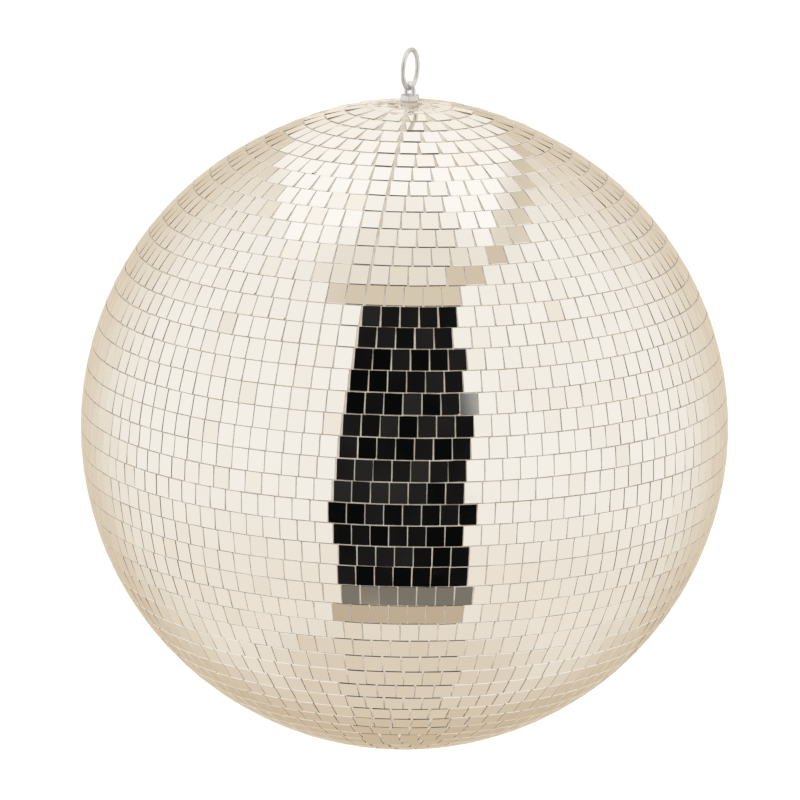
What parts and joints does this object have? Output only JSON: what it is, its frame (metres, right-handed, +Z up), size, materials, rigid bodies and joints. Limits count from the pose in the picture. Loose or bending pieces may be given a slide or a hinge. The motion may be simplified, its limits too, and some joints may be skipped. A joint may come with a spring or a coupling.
{
  "type": "mirror ball",
  "caption": "Hanging mirror ball: flat mirror tiles in level rows over a hollow plastic ball, hung by a wire ring through a wire eye on a hexagon-headed stud",
  "frame": {"origin": "where a hook bears, at the top of the ring's hole, with the ring upright and the ball hanging below it", "axes": "+Z is up, the ring lies in the YZ plane, and X passes through the ring's hole"},
  "size_m": [0.3002, 0.3002, 0.3278],
  "materials": {
    "mirror_tiles": "flat silvered glass",
    "backing_cloth": "pale woven backing cloth with glue",
    "ball_plastic": "plain moulded plastic",
    "plated_steel": "bright plated steel",
    "nickel_wire": "nickel-plated drawn wire",
    "zinc_steel": "zinc plated",
    "white_sealant": "cured white sealant"
  },
  "bodies": {
    "ring": {"hanging_ring": "nickel_wire"},
    "ball": {"tiles_upper_01": "mirror_tiles", "tiles_upper_02": "mirror_tiles", "tiles_upper_03": "mirror_tiles", "tiles_upper_04": "mirror_tiles", "tiles_upper_05": "mirror_tiles", "tiles_upper_06": "mirror_tiles", "tiles_upper_07": "mirror_tiles", "tiles_upper_08": "mirror_tiles", "tiles_upper_09": "mirror_tiles", "tiles_upper_10": "mirror_tiles", "tiles_upper_11": "mirror_tiles", "tiles_upper_12": "mirror_tiles", "tiles_upper_13": "mirror_tiles", "tiles_upper_14": "mirror_tiles", "tiles_upper_15": "mirror_tiles", "tiles_upper_16": "mirror_tiles", "tiles_upper_17": "mirror_tiles", "tiles_upper_18": "mirror_tiles", "tiles_upper_19": "mirror_tiles", "tiles_upper_20": "mirror_tiles", "tiles_upper_21": "mirror_tiles", "tiles_upper_22": "mirror_tiles", "tiles_lower_01": "mirror_tiles", "tiles_lower_02": "mirror_tiles", "tiles_lower_03": "mirror_tiles", "tiles_lower_04": "mirror_tiles", "tiles_lower_05": "mirror_tiles", "tiles_lower_06": "mirror_tiles", "tiles_lower_07": "mirror_tiles", "tiles_lower_08": "mirror_tiles", "tiles_lower_09": "mirror_tiles", "tiles_lower_10": "mirror_tiles", "tiles_lower_11": "mirror_tiles", "tiles_lower_12": "mirror_tiles", "tiles_lower_13": "mirror_tiles", "tiles_lower_14": "mirror_tiles", "tiles_lower_15": "mirror_tiles", "tiles_lower_16": "mirror_tiles", "tiles_lower_17": "mirror_tiles", "tiles_lower_18": "mirror_tiles", "tiles_lower_19": "mirror_tiles", "tiles_lower_20": "mirror_tiles", "tiles_lower_21": "mirror_tiles", "tiles_lower_22": "mirror_tiles", "tiles_upper_pole": "mirror_tiles", "tiles_lower_pole": "mirror_tiles", "cloth_backing": "backing_cloth", "upper_shell": "ball_plastic", "lower_shell": "ball_plastic", "joint_band": "ball_plastic", "hanger_screw": "plated_steel", "wire_eye": "plated_steel", "outer_washer": "zinc_steel", "outer_nut": "zinc_steel", "sealant_ring": "white_sealant", "backing_plate": "zinc_steel", "spring_washer": "zinc_steel", "inner_nut": "zinc_steel"}
  },
  "joints": [
    {"name": "ball_swing", "type": "hinge", "parent": "ring", "child": "ball", "pos_m": [0, 0, -0.0168], "axis": [0, 1, 0], "range_deg": [-100, 100]}
  ]
}
